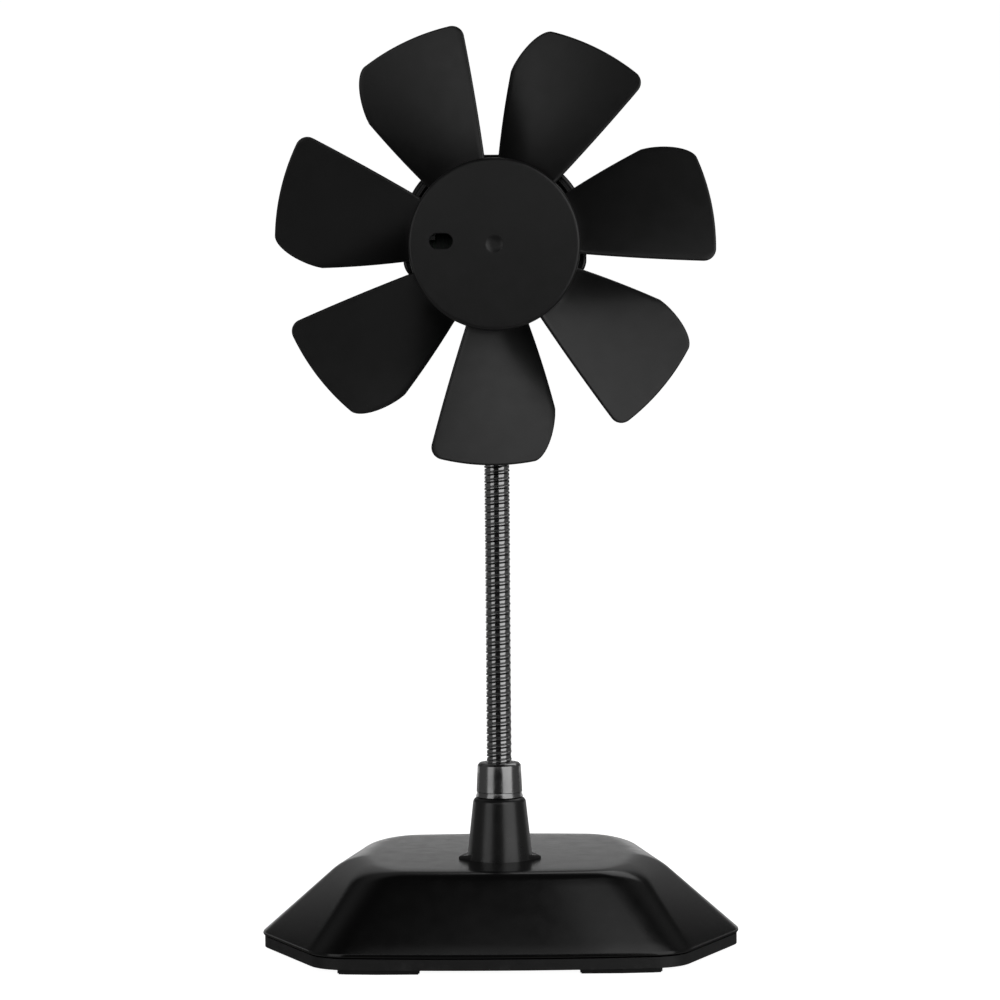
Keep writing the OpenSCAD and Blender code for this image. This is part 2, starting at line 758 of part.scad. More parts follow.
module magnet_ring() {
    color([0.2, 0.2, 0.2]) fan_space() ring(hub_r - 2.4, 16.8, 22.8, 31.8);
}

module rotor_shaft() {
    color("silver") fan_space() difference() {
        translate([0, 0, tube_back + 1.5]) cylinder(r = shaft_r, h = hub_front - 0.8 - tube_back - 1.5);
        ring(shaft_r + 1, shaft_r - 0.3, tube_back + 2.2, tube_back + 2.7);
    }
}

module shaft_clip() {
    color("silver") fan_space() ring(2.3, shaft_r - 0.28, tube_back + 2.25, tube_back + 2.65);
}

module slip_washer() {
    color("white") fan_space() ring(2.6, shaft_r + 0.01, tube_front + 0.05, tube_front + 0.35);
}

base_cover();
base_plate();
rubber_feet();
cover_screws();
ballast_weight();
ballast_screws();
neck_boot();
lower_ferrule();
lower_washer();
lower_nut();
switch_body();
switch_terminals();
rocker_button();
cable_grommet();
cord_clamp();
clamp_screws();
base_leads();
lead_sleeves();
neck_root();
neck_link(1);  // neck_link_1
neck_link(2);  // neck_link_2
neck_link(3);  // neck_link_3
neck_link(4);  // neck_link_4
neck_link(5);  // neck_link_5
neck_link(6);  // neck_link_6
neck_link(7);  // neck_link_7
neck_end();
upper_ferrule();
upper_nut();
motor_housing();
rear_cap();
cap_screws();
bearing_tube();
sleeve_bearing();
thrust_plate();
stator_core();
stator_insulators();
stator_windings();
driver_board();
board_parts();
motor_leads();
impeller();
rotor_yoke();
magnet_ring();
rotor_shaft();
shaft_clip();
slip_washer();
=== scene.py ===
"""The looks of the desk fan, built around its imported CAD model. Front is -Y, up is +Z.
Shapes are given in millimetres and turned into metres as each mesh is made."""

import itertools
import json
import math

import bpy
import numpy as np
from mathutils import Matrix, Vector


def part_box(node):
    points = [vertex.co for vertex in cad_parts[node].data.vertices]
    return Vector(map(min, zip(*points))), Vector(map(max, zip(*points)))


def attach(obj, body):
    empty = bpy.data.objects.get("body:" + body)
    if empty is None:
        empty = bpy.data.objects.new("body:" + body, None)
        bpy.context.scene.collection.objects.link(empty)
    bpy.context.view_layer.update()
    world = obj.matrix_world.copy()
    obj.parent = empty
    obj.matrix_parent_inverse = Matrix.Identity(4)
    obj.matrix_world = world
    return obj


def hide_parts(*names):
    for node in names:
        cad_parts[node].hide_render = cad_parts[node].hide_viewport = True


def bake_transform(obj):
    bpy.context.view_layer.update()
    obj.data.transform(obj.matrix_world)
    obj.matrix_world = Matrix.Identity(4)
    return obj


MM = 0.001
TAU = 2 * math.pi
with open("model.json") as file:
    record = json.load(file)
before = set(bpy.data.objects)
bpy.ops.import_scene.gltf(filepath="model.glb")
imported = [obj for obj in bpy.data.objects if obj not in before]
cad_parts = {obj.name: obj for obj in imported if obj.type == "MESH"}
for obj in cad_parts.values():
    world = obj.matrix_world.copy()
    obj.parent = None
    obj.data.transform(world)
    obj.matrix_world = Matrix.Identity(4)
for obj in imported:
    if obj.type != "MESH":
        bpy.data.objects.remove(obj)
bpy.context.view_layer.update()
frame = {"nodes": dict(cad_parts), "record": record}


def place_camera():
    """The camera of the product picture: far off, a little above the base and looking slightly down."""
    yaw, pitch, roll = 0.0076, 0.0434, -0.008
    forward = Vector((-math.sin(yaw) * math.cos(pitch), math.cos(yaw) * math.cos(pitch), -math.sin(pitch)))
    level = forward.cross(Vector((0, 0, 1))).normalized()
    right = level * math.cos(roll) + level.cross(forward) * math.sin(roll)
    data = bpy.data.cameras.new("camera")
    data.sensor_width = 36
    data.lens = 132.6
    camera = bpy.data.objects.new("camera", data)
    camera.matrix_world = Matrix((right, right.cross(forward), -forward)).transposed().to_4x4()
    camera.location = (0.0077, -0.930, 0.1537)
    bpy.context.scene.collection.objects.link(camera)
    bpy.context.scene.camera = camera


place_camera()

# ---------------------------------------------------------------- sizes, in mm, from the frame


def box_mm(node):
    low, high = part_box(node)
    return low / MM, high / MM


plate_high = box_mm("base_plate")[1]
cover_low, cover_high = box_mm("base_cover")
boot_low, boot_high = box_mm("neck_boot")
lower_low, lower_high = box_mm("lower_ferrule")
upper_low, upper_high = box_mm("upper_ferrule")
housing_high = box_mm("motor_housing")[1]
cap_high = box_mm("rear_cap")[1]
impeller_low = box_mm("impeller")[0]
yoke_low, yoke_high = box_mm("rotor_yoke")

NECK_Y = (boot_low.y + boot_high.y) / 2
FLEX_Z0 = lower_high.z
FLEX_Z1 = upper_low.z
FAN_Z = (yoke_low.z + yoke_high.z) / 2
PLATEAU_Z = cover_high.z
COVER_Z0 = cover_low.z

# Places along the fan's axis, measured forwards from the object's origin
HUB_FRONT = -impeller_low.y
HUB_RIM = 20.5
HOUSING_FRONT = 19.5
HOUSING_BACK = -housing_high.y
CAP_BACK = -cap_high.y

# Radii of the hub, the blades' tips and the ferrules' studs, and the height of a ferrule's collar
HUB_R = 21.0
TIP_R = 54.0
STUD_R = 4.0
FERRULE_H = 8.6

# ---------------------------------------------------------------- finishes


class Finish:
    """One material, with short calls for the nodes that every finish shares. Patterns are in metres."""

    def __init__(self, name, colour, rough, metallic=0.0):
        self.material = bpy.data.materials.new(name)
        self.material.use_nodes = True
        self.tree = self.material.node_tree
        self.shader = self.tree.nodes["Principled BSDF"]
        self.place = self.tree.nodes.new("ShaderNodeTexCoord").outputs["Object"]
        self.shader.inputs["Metallic"].default_value = metallic
        self.colour = self.mix(self.noise(70, 4), *colour)
        self.rough = self.remap(self.noise(260, 5), 0.3, 0.7, *rough)
        self.height = None

    def node(self, kind, **settings):
        made = self.tree.nodes.new("ShaderNode" + kind)
        for key, value in settings.items():
            setattr(made, key, value)
        return made

    def feed(self, value, socket):
        if isinstance(value, bpy.types.NodeSocket):
            self.tree.links.new(value, socket)
        elif socket.type == "RGBA":
            socket.default_value = (*value, 1)
        else:
            socket.default_value = value

    def noise(self, scale, detail=2.0, stretch=(1, 1, 1)):
        """Soft noise from 0 to 1 with features about 1 / scale metres across."""
        mapping = self.node("Mapping")
        mapping.inputs["Scale"].default_value = stretch
        self.feed(self.place, mapping.inputs["Vector"])
        made = self.node("TexNoise")
        self.feed(mapping.outputs["Vector"], made.inputs["Vector"])
        made.inputs["Scale"].default_value = scale
        made.inputs["Detail"].default_value = detail
        return made.outputs["Fac"]

    def cells(self, scale):
        """Distance to the nearest of many scattered points, about 1 / scale metres apart."""
        made = self.node("TexVoronoi")
        self.feed(self.place, made.inputs["Vector"])
        made.inputs["Scale"].default_value = scale
        return made.outputs["Distance"]

    def rings(self, scale, direction="Z"):
        """Fine parallel lines across one axis, as a lathe tool or a stack of sheets leaves them."""
        made = self.node("TexWave", bands_direction=direction)
        self.feed(self.place, made.inputs["Vector"])
        made.inputs["Scale"].default_value = scale
        made.inputs["Distortion"].default_value = 1.2
        made.inputs["Detail"].default_value = 3
        return made.outputs["Fac"]

    def remap(self, value, low, high, out_low=0.0, out_high=1.0):
        made = self.node("MapRange")
        for key, number in zip(("Value", "From Min", "From Max", "To Min", "To Max"),
                               (value, low, high, out_low, out_high)):
            self.feed(number, made.inputs[key])
        return made.outputs["Result"]

    def maths(self, operation, a, b):
        made = self.node("Math", operation=operation)
        self.feed(a, made.inputs[0])
        self.feed(b, made.inputs[1])
        return made.outputs["Value"]

    def mix(self, share, a, b):
        made = self.node("Mix", data_type="RGBA")
        self.feed(share, made.inputs[0])
        self.feed(a, made.inputs[6])
        self.feed(b, made.inputs[7])
        return made.outputs[2]

    def raise_by(self, pattern, metres):
        """Adds a pattern from 0 to 1 to the surface's height, as deep as metres."""
        lift = self.maths("MULTIPLY", pattern, metres)
        self.height = lift if self.height is None else self.maths("ADD", self.height, lift)
        return self

    def grain(self, scale, metres):
        return self.raise_by(self.noise(scale, 3), metres)

    def specks(self, colour, spacing, size):
        """Scattered small specks, as dust or flakes in the surface."""
        near = self.remap(self.cells(1 / spacing), 0.0, size / spacing, 1.0, 0.0)
        patchy = self.maths("MULTIPLY", near, self.remap(self.noise(0.35 / spacing, 2), 0.55, 0.7))
        self.colour = self.mix(patchy, self.colour, colour)
        return self

    def wear(self, colour, amount):
        """Lighter, polished edges where hands and packing rub them."""
        edge = self.remap(self.node("NewGeometry").outputs["Pointiness"], 0.52, 0.62)
        share = self.maths("MULTIPLY", edge, self.remap(self.noise(420, 4), 0.4, 0.75, 0.0, amount))
        self.colour = self.mix(share, self.colour, colour)
        self.rough = self.maths("SUBTRACT", self.rough, self.maths("MULTIPLY", share, 0.12))
        return self

    def done(self):
        self.feed(self.colour, self.shader.inputs["Base Color"])
        self.feed(self.rough, self.shader.inputs["Roughness"])
        if self.height is not None:
            bump = self.node("Bump")
            bump.inputs["Distance"].default_value = 1.0
            self.feed(self.height, bump.inputs["Height"])
            self.feed(bump.outputs["Normal"], self.shader.inputs["Normal"])
        return self.material


def grey(level, warmth=0.0):
    return (level * (1 + warmth), level, level * (1 - warmth))


def satin_plastic():
    made = Finish("satin_black_plastic", (grey(0.0050), grey(0.0065)), (0.17, 0.22))
    return made.grain(2600, 3e-6).wear(grey(0.035), 0.4).done()


def matte_plastic():
    made = Finish("matte_black_plastic", (grey(0.015), grey(0.021)), (0.46, 0.58))
    return made.grain(3200, 1.2e-5).wear(grey(0.07), 0.4).done()


def impeller_plastic():
    made = Finish("impeller_plastic", (grey(0.011), grey(0.019)), (0.32, 0.38))
    made.specks(grey(0.07), 0.0035, 0.00016)
    return made.grain(3600, 6e-6).wear(grey(0.05), 0.4).done()


def soft_plastic():
    made = Finish("soft_satin_plastic", (grey(0.010), grey(0.013)), (0.27, 0.33))
    made.shader.inputs["Specular IOR Level"].default_value = 0.8
    return made.grain(2800, 5e-6).wear(grey(0.04), 0.4).done()


def rubber():
    made = Finish("black_rubber", (grey(0.016), grey(0.024)), (0.66, 0.80))
    return made.grain(1800, 1.4e-5).specks(grey(0.09), 0.002, 0.00015).done()


def black_chrome():
    made = Finish("black_chrome", (grey(0.40), grey(0.50)), (0.08, 0.13), metallic=1.0)
    return made.grain(1500, 4e-6).wear(grey(0.6), 0.5).done()


def gunmetal():
    made = Finish("gunmetal", (grey(0.30), grey(0.37)), (0.17, 0.26), metallic=1.0)
    made.raise_by(made.rings(1400), 3e-6)
    return made.grain(2400, 9e-6).specks(grey(0.6), 0.0012, 0.0002).wear(grey(0.55), 0.6).done()


def metal(name, colour, rough, lines=None):
    made = Finish(name, colour, rough, metallic=1.0)
    if lines is not None:
        made.raise_by(made.rings(*lines), 5e-6)
    return made.grain(2200, 4e-6).wear(tuple(min(1.0, 1.5 * c) for c in colour[1]), 0.5).done()


def cast_weight():
    made = Finish("cast_weight", (grey(0.10), grey(0.16)), (0.6, 0.75), metallic=0.6)
    return made.grain(700, 6e-5).specks((0.20, 0.09, 0.04), 0.004, 0.001).done()


def ferrite():
    made = Finish("ferrite", (grey(0.05), grey(0.075)), (0.5, 0.62))
    return made.grain(1600, 1e-5).specks(grey(0.16), 0.0015, 0.0002).done()


def enamelled_copper():
    made = Finish("copper_winding", ((0.30, 0.09, 0.03), (0.46, 0.16, 0.06)), (0.24, 0.34), metallic=0.9)
    made.raise_by(made.rings(1500, "Y"), 4e-5)
    return made.done()


def circuit_board():
    made = Finish("board_green", ((0.004, 0.022, 0.010), (0.006, 0.030, 0.014)), (0.30, 0.40))
    tracks = made.remap(made.rings(160, "X"), 0.62, 0.66)
    made.colour = made.mix(tracks, made.colour, (0.012, 0.05, 0.024))
    return made.raise_by(tracks, 3e-5).done()


def nylon():
    made = Finish("white_nylon", ((0.66, 0.65, 0.60), (0.76, 0.75, 0.71)), (0.40, 0.52))
    made.shader.inputs["Subsurface Weight"].default_value = 0.08
    made.shader.inputs["Subsurface Scale"].default_value = 0.001
    return made.grain(1500, 6e-6).done()


def insulation(name, colour):
    made = Finish(name, (tuple(0.7 * c for c in colour), colour), (0.34, 0.46))
    return made.grain(1200, 8e-6).done()


FINISHES = {
    "satin_black_plastic": satin_plastic(),
    "matte_black_plastic": matte_plastic(),
    "impeller_plastic": impeller_plastic(),
    "soft_satin_plastic": soft_plastic(),
    "black_rubber": rubber(),
    "black_chrome": black_chrome(),
    "gunmetal": gunmetal(),
    "zinc_steel": metal("zinc_steel", (grey(0.50), (0.60, 0.61, 0.63)), (0.26, 0.38)),
    "cast_weight": cast_weight(),
    "brass": metal("brass", ((0.55, 0.38, 0.13), (0.68, 0.48, 0.18)), (0.24, 0.36), (900, "Y")),
    "bronze": metal("bronze", ((0.34, 0.20, 0.09), (0.42, 0.26, 0.12)), (0.45, 0.6)),
    "lamination_steel": metal("lamination_steel", (grey(0.06), grey(0.09)), (0.45, 0.6), (620, "Y")),
    "ferrite": ferrite(),
    "copper_winding": enamelled_copper(),
    "board_green": circuit_board(),
    "white_nylon": nylon(),
    "lead_insulation": insulation("lead_insulation", (0.42, 0.02, 0.015)),
}

# ---------------------------------------------------------------- mesh helpers


def make_object(name, mesh):
    made = bpy.data.objects.new(name, mesh)
    bpy.context.scene.collection.objects.link(made)
    return made


def solid(name, points, faces):
    """An object from points in mm, with all its faces turned outwards."""
    mesh = bpy.data.meshes.new(name)
    mesh.from_pydata((np.asarray(points, float) * MM).tolist(), [], [list(map(int, f)) for f in faces])
    made = make_object(name, mesh)
    turn_outwards(mesh)
    return made


def turn_outwards(mesh):
    """Flips every face if the closed mesh is inside out, by the sign of its volume."""
    mesh.calc_loop_triangles()
    co = np.empty(len(mesh.vertices) * 3)
    mesh.vertices.foreach_get("co", co)
    co = co.reshape(-1, 3)
    corners = np.empty(len(mesh.loop_triangles) * 3, np.int32)
    mesh.loop_triangles.foreach_get("vertices", corners)
    a, b, c = (co[corners.reshape(-1, 3)[:, i]] for i in range(3))
    if np.einsum("ij,ij->i", a, np.cross(b, c)).sum() < 0:
        mesh.flip_normals()


def loft(name, rings, ends="points"):
    """A closed skin over rings that each have the same number of points.
    ends: "points" closes the first and last ring in their middles, and "loop" joins last to first."""
    count, n = len(rings), len(rings[0])
    points = [p for ring in rings for p in ring]
    steps = count if ends == "loop" else count - 1
    faces = []
    for i in range(steps):
        a, b = i * n, (i + 1) % count * n
        faces += [(a + j, a + (j + 1) % n, b + (j + 1) % n, b + j) for j in range(n)]
    if ends == "points":
        for i, flip in ((0, False), (count - 1, True)):
            middle = len(points)
            points.append(np.mean(rings[i], axis=0))
            for j in range(n):
                a, b = i * n + j, i * n + (j + 1) % n
                faces.append((middle, a, b) if flip else (middle, b, a))
    return solid(name, points, faces)


def to_neck(points):
    """From neck space, with Z up its axis, to the object's frame."""
    return np.asarray(points, float) + (0, NECK_Y, 0)


def to_fan(points):
    """From fan space, with X to the right, Y up and Z forwards out of the hub, to the object's frame."""
    p = np.asarray(points, float)
    return np.stack([p[:, 0], -p[:, 2], p[:, 1] + FAN_Z], axis=1)


def lathe(name, profile, to_frame, ends="loop", segments=96):
    """A turned shape from (radius, height) points, on the Z axis of the space that to_frame maps.
    With the first angle at 0 a faint line showed across the hub. It was gone with this one. The likely
    cause, which wasn't tested, is that Pointiness merges close points whose x + y + z agree."""
    first = 0.3
    angles = (np.arange(segments) + first) * TAU / segments
    rings = []
    for radius, height in profile:
        ring = np.stack([radius * np.cos(angles), radius * np.sin(angles), np.full(segments, height)], axis=1)
        rings.append(to_frame(ring))
    return loft(name, rings, ends)


def arc(middle, radius, start, end, steps=6):
    """Points on an arc in the profile plane, with its angles in degrees."""
    angles = np.radians(np.linspace(start, end, steps + 1))
    return [(middle[0] + radius * math.cos(a), middle[1] + radius * math.sin(a)) for a in angles]


def combine(target, tool, operation):
    """Joins or cuts the target with the tool, and uses the tool up."""
    step = target.modifiers.new(operation.lower(), "BOOLEAN")
    step.operation = operation
    step.solver = "EXACT"
    step.object = tool
    graph = bpy.context.evaluated_depsgraph_get()
    result = bpy.data.meshes.new_from_object(target.evaluated_get(graph))
    target.modifiers.clear()
    target.data = result
    bpy.data.objects.remove(tool)


def cut(target, tool):
    combine(target, tool, "DIFFERENCE")


def join(target, tool):
    combine(target, tool, "UNION")


def finish_piece(piece, slot, body=None, crease=32.0):
    """Smooth shading with creases, the slot's finish, and the CAD body that the piece rides on."""
    piece.data.shade_smooth()
    piece.data.set_sharp_from_angle(angle=math.radians(crease))
    piece.data.materials.clear()
    piece.data.materials.append(FINISHES[slot])
    if body is not None:
        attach(piece, body)
    return piece


# ---------------------------------------------------------------- base cover

# An outline is the x of its side corners, then the x and y of its four other corners, before rounding
GROUND = (60.8, 44.0, 42.5)
PLATEAU = (38.6, 33.2, 33.5)
GROUND_ROUND = 10.5
PLATEAU_ROUND = 11.3
# How far the front and rear edges bulge, and how far the side corners sit in front of the middle
FRONT_BULGE = 3.0
SIDE_FORWARD = 5.5
# How many points there are on each side and on each rounded corner
SIDE_SAMPLES = 18
CORNER_SAMPLES = 10
# How thick the cover is
WALL = 2.2


def six_sides(size, rounding, inset=0.0):
    """Outline of the base, anticlockwise, with bulged front and rear edges, and always as many points."""
    side, cx, cy = size
    rear = [[side, -SIDE_FORWARD], [cx, cy], [-cx, cy]]
    v = np.array(rear + [[-side, -SIDE_FORWARD], [-cx, -cy], [cx, -cy]], float)
    along = np.roll(v, -1, axis=0) - v
    length = np.linalg.norm(along, axis=1)
    along = along / length[:, None]
    out = np.stack([along[:, 1], -along[:, 0]], axis=1)
    before = np.roll(out, 1, axis=0)
    v = v - inset * (out + before) / (1 + (out * before).sum(axis=1))[:, None]
    bulges = [0, FRONT_BULGE, 0] * 2
    turns = [math.acos(np.clip(out[i] @ before[i], -1, 1)) for i in range(6)]

    def on_side(i, distance):
        """Point and direction on bulged side i."""
        a, b = v[i], v[(i + 1) % 6]
        d = b - a
        t = distance / np.linalg.norm(d)
        point = a + t * d + 4 * t * (1 - t) * bulges[i] * out[i]
        way = d + 4 * (1 - 2 * t) * bulges[i] * out[i]
        return point, way / np.linalg.norm(way)

    points = []
    for i in range(6):
        span = np.linalg.norm(v[(i + 1) % 6] - v[i])
        cut_here = rounding * math.tan(turns[i] / 2)
        cut_next = rounding * math.tan(turns[(i + 1) % 6] / 2)
        for s in np.linspace(cut_here, span - cut_next, SIDE_SAMPLES, endpoint=False):
            points.append(on_side(i, s)[0])
        p0, w0 = on_side(i, span - cut_next)
        p3, w3 = on_side((i + 1) % 6, cut_next)
        handle = 4 / 3 * math.tan(turns[(i + 1) % 6] / 4) * rounding
        p1, p2 = p0 + handle * w0, p3 - handle * w3
        for s in np.linspace(0, 1, CORNER_SAMPLES, endpoint=False):
            r = 1 - s
            points.append(r ** 3 * p0 + 3 * s * r * r * p1 + 3 * s * s * r * p2 + s ** 3 * p3)
    return np.array(points)


def level_ring(outline, z):
    return np.column_stack([outline, np.full(len(outline), float(z))])


def edge_softness(crisp, soft):
    """How wide the plateau's edge is rounded at each point: crisp in front and behind, soft at the sides."""
    widths = []
    for i in range(6):
        here, after = (crisp if k % 3 == 1 else soft for k in (i, i + 1))
        widths += [here] * SIDE_SAMPLES
        for s in np.linspace(0, 1, CORNER_SAMPLES, endpoint=False):
            widths.append(here + (after - here) * s * s * (3 - 2 * s))
    return np.array(widths)[:, None]


def curve(start, bend, end, t):
    """The place at t, from 0 to 1, on a curve from start to end that bend draws towards itself."""
    return (1 - t) ** 2 * start + 2 * t * (1 - t) * bend + t * t * end


def cover_shell():
    """The cover's outer skin from its rim up to the plateau, and its inner skin back down."""
    rim_h, rim_round = 0.8, 0.3
    crisp, soft = 2.3, 5.4
    ground = six_sides(GROUND, GROUND_ROUND)
    foot = level_ring(ground, COVER_Z0 + rim_h)
    edge = level_ring(six_sides(PLATEAU, PLATEAU_ROUND), PLATEAU_Z)
    up = edge - foot
    up /= np.linalg.norm(up, axis=1)[:, None]
    inwards = level_ring(six_sides(PLATEAU, PLATEAU_ROUND, 1.0), PLATEAU_Z) - edge
    rings = [level_ring(six_sides(GROUND, GROUND_ROUND, 0.35), COVER_Z0),
             level_ring(six_sides(GROUND, GROUND_ROUND, 0.1), COVER_Z0 + 0.1),
             level_ring(ground, COVER_Z0 + rim_round), level_ring(ground, COVER_Z0 + rim_h - rim_round)]
    slope_start = foot + rim_round * up
    for t in (0.35, 0.7, 1.0):
        rings.append(curve(rings[3], foot, slope_start, t))
    softness = edge_softness(crisp, soft)
    slope_end = edge - softness * up
    for t in (0.15, 0.3, 0.45, 0.6, 0.75, 0.9):
        rings.append((1 - t) * slope_start + t * slope_end)
    for t in np.linspace(0, 1, 11):
        rings.append(curve(slope_end, edge, edge + softness * inwards, t))
    for inset in (6.5, 10.0):
        rings.append(level_ring(six_sides(PLATEAU, PLATEAU_ROUND, inset), PLATEAU_Z))
    plateau = rings[-1]
    rings += [plateau * (share, share, 1) for share in (0.66, 0.33)]
    inside = [level_ring(six_sides(GROUND, GROUND_ROUND, WALL), z) for z in (COVER_Z0, COVER_Z0 + 0.4)]
    for inset, z in ((1.44, WALL + 1.6), (2.34, WALL + 0.5), (3.44, WALL)):
        inside.append(level_ring(six_sides(PLATEAU, PLATEAU_ROUND, inset), PLATEAU_Z - z))
    inside.append(inside[-1] * (0.5, 0.5, 1))
    return loft("base_cover_moulding", inside[::-1] + rings, "points")


def in_place(points_at):
    """Maps a space with its origin at points_at and its axes along the object's frame."""
    return lambda p: np.asarray(p, float) + points_at


def along_y(x, y, z):
    """Maps a space whose Z runs rearwards from the point (x, y, z)."""
    return lambda p: np.column_stack([p[:, 0] + x, p[:, 2] + y, z - p[:, 1]])


def slab_between(name, low, high, to_frame):
    """A box with its corners in the space that to_frame maps, used only to cut."""
    corners = to_frame(np.array(list(itertools.product(*zip(low, high)))))
    sides = [(0, 1, 3, 2), (4, 6, 7, 5), (0, 4, 5, 1), (2, 3, 7, 6), (0, 2, 6, 4), (1, 5, 7, 3)]
    return solid(name, corners, sides)


def switch_space():
    """Maps the switch's own space, with Z out of the cover's rear face, to the object's frame.
    The cover's rim stands out past the plate, and its rear face is taken to bulge 1.1 mm less at the switch
    than in its middle, as in the CAD."""
    rim_overhang = 0.4
    bulge_loss = 1.1
    low, high = box_mm("switch_body")
    run = GROUND[2] - PLATEAU[2]
    slope = math.atan2(run, PLATEAU_Z - COVER_Z0)
    outwards = np.array([0, math.cos(slope), math.sin(slope)])
    down = np.array([0, math.sin(slope), -math.cos(slope)])
    face_y = plate_high.y + rim_overhang - bulge_loss - run / 2
    origin = np.array([(low.x + high.x) / 2, face_y, (PLATEAU_Z + COVER_Z0) / 2])
    axes = np.array([(1, 0, 0), down, outwards])
    return lambda p: origin + p @ axes


def base_cover():
    cover = cover_shell()
    post_x, post_y, post_r, core_r, post_top = 36.0, 20.0, 3.0, 1.45, 18.4
    post_foot = COVER_Z0 - 0.3
    post = [(core_r, post_foot), (core_r, 14.0), (core_r, post_top), (post_r, post_top), (post_r, 14.0),
            (post_r, post_foot)]
    for sx in (-1, 1):
        for sy in (-1, 1):
            join(cover, lathe("post", post, in_place((sx * post_x, sy * post_y, 0)), segments=24))
    hole_r = STUD_R + 0.1
    cut(cover, lathe("neck_hole", [(hole_r, PLATEAU_Z - 4), (hole_r, PLATEAU_Z + 2)], to_neck, "points", 48))
    inlet_low, inlet_high = box_mm("cable_grommet")
    inlet = along_y(0, inlet_low.y, (inlet_low.z + inlet_high.z) / 2)
    boss = [(4.5, 0), (4.5, 4.7), *arc((4.2, 4.7), 0.3, 0, 90, 3), (3.0, 5.0), (3.0, 0)]
    join(cover, lathe("boss", boss, inlet, segments=48))
    cut(cover, lathe("bore", [(3.0, -1), (3.0, 8)], inlet, "points", 48))
    switch_hole = ((-4.5, -6.6, -6), (4.5, 6.6, 4))
    flange_recess = ((-5.5, -7.7, -0.55), (5.5, 7.7, 4))
    for low, high in (switch_hole, flange_recess):
        cut(cover, slab_between("switch_seat", low, high, switch_space()))
    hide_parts("base_cover")
    return finish_piece(cover, "satin_black_plastic", "base", 28)


# ---------------------------------------------------------------- neck


def neck_boot():
    """Tapered column with softened shoulders, and a small pointed tab on its left and right."""
    height = boot_high.z - boot_low.z
    bore, foot_r, top_r, shoulder = STUD_R + 0.1, 8.2, 6.65, 1.5
    profile = [(bore, 0), (foot_r, 0)]
    profile += [(foot_r + (top_r - foot_r) * t, (height - shoulder) * t) for t in (0.25, 0.5, 0.75, 1.0)]
    profile += arc((top_r - shoulder, height - shoulder), shoulder, 12, 90, 7) + [(bore, height)]
    boot = lathe("neck_boot_moulding", profile, lambda p: to_neck(p + (0, 0, boot_low.z)), segments=144)
    tip, slope_run, slope_rise = 10.3, 2.1, 0.9
    near_half = [(-tip, 0), (-9.6, -1.0), (-7.2, -3.7), (-5.0, -3.7)]
    tab = np.array(near_half + [(x, -y) for x, y in near_half[:0:-1]])
    for sx in (1, -1):
        rings = [to_neck(level_ring(tab * (sx, 1), boot_low.z))]
        for inset, z in ((0, 0.35), (0.12, 0.5)):
            flat = (tab + (inset, 0)) * (sx, 1)
            rise = np.clip((tip - np.abs(flat[:, 0])) / slope_run, 0, 1) * slope_rise
            rings.append(to_neck(np.column_stack([flat, boot_low.z + z + rise])))
        join(boot, loft("tab", rings, "points"))
    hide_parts("neck_boot")
    finish_piece(boot, "satin_black_plastic", "base")
    boot.data.materials[0] = FINISHES["soft_satin_plastic"]


def ferrule(name, node, body, stud_length, upside_down):
    """Turned collar with a lip at its foot, a chamfered mouth, a socket for the neck and a hollow stud."""
    lip_r, foot_r, mouth_r, chamfer = 5.87, 5.72, 5.45, 0.6
    socket_r, socket_depth, lead_r = 3.205, 7.0, 1.9
    profile = [(lead_r, -stud_length), (STUD_R - 0.4, -stud_length), (STUD_R, 0.4 - stud_length), (STUD_R, 0),
               (lip_r - 0.1, 0), (lip_r, 0.1), (lip_r, 0.22), (foot_r - 0.15, 1.2), (foot_r - 0.12, 1.27),
               (foot_r, 1.36)]
    for t in (0.33, 0.67, 1.0):
        profile.append((foot_r + (mouth_r - foot_r) * t, 1.4 + (FERRULE_H - chamfer - 1.5) * t))
    profile += [(mouth_r - 0.04, FERRULE_H - chamfer), (mouth_r - chamfer + 0.06, FERRULE_H - 0.06),
                (mouth_r - chamfer - 0.08, FERRULE_H), (socket_r + 0.3, FERRULE_H),
                (socket_r, FERRULE_H - 0.3), (socket_r, FERRULE_H - socket_depth),
                (lead_r, FERRULE_H - socket_depth)]
    base_z = FLEX_Z1 + FERRULE_H if upside_down else FLEX_Z0 - FERRULE_H
    sign = -1 if upside_down else 1
    made = lathe(name, profile, lambda p: to_neck(p * (1, 1, sign) + (0, 0, base_z)), segments=128)
    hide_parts(node)
    return finish_piece(made, "gunmetal", body)


# The bending length between the ferrules has equal links, each with whole turns of wire
HINGES = 8
LINK = (FLEX_Z1 - FLEX_Z0) / HINGES
TURNS = 6
PITCH = LINK / TURNS
# Turns that go on into each ferrule
SOCKET_TURNS = 3
ROUND_ANGLES = 56
PITCH_STEPS = 20
LINER_STEPS = 2
LINER_R = 1.65


def wound_profile():
    """Radius over one pitch of the gooseneck: a round wire and a flatter, wider one. A deep groove comes
    before the round wire and a shallow one after it."""
    round_share, round_r, round_drop, flat_r, flat_drop = 0.4, 3.175, 0.10, 3.09, 0.06
    deep, shallow, groove_half = 0.50, 0.16, 0.07
    radii = []
    for share in np.arange(PITCH_STEPS) / PITCH_STEPS:
        if share < round_share:
            t = abs(share - round_share / 2) / (round_share / 2)
            radius = round_r - round_drop * t * t
        else:
            t = abs(share - (1 + round_share) / 2) / ((1 - round_share) / 2)
            radius = flat_r - flat_drop * t * t
        radius -= deep * max(0.0, 1 - min(share, 1 - share) / groove_half)
        radius -= shallow * max(0.0, 1 - abs(share - round_share) / groove_half)
        radii.append(radius)
    return radii


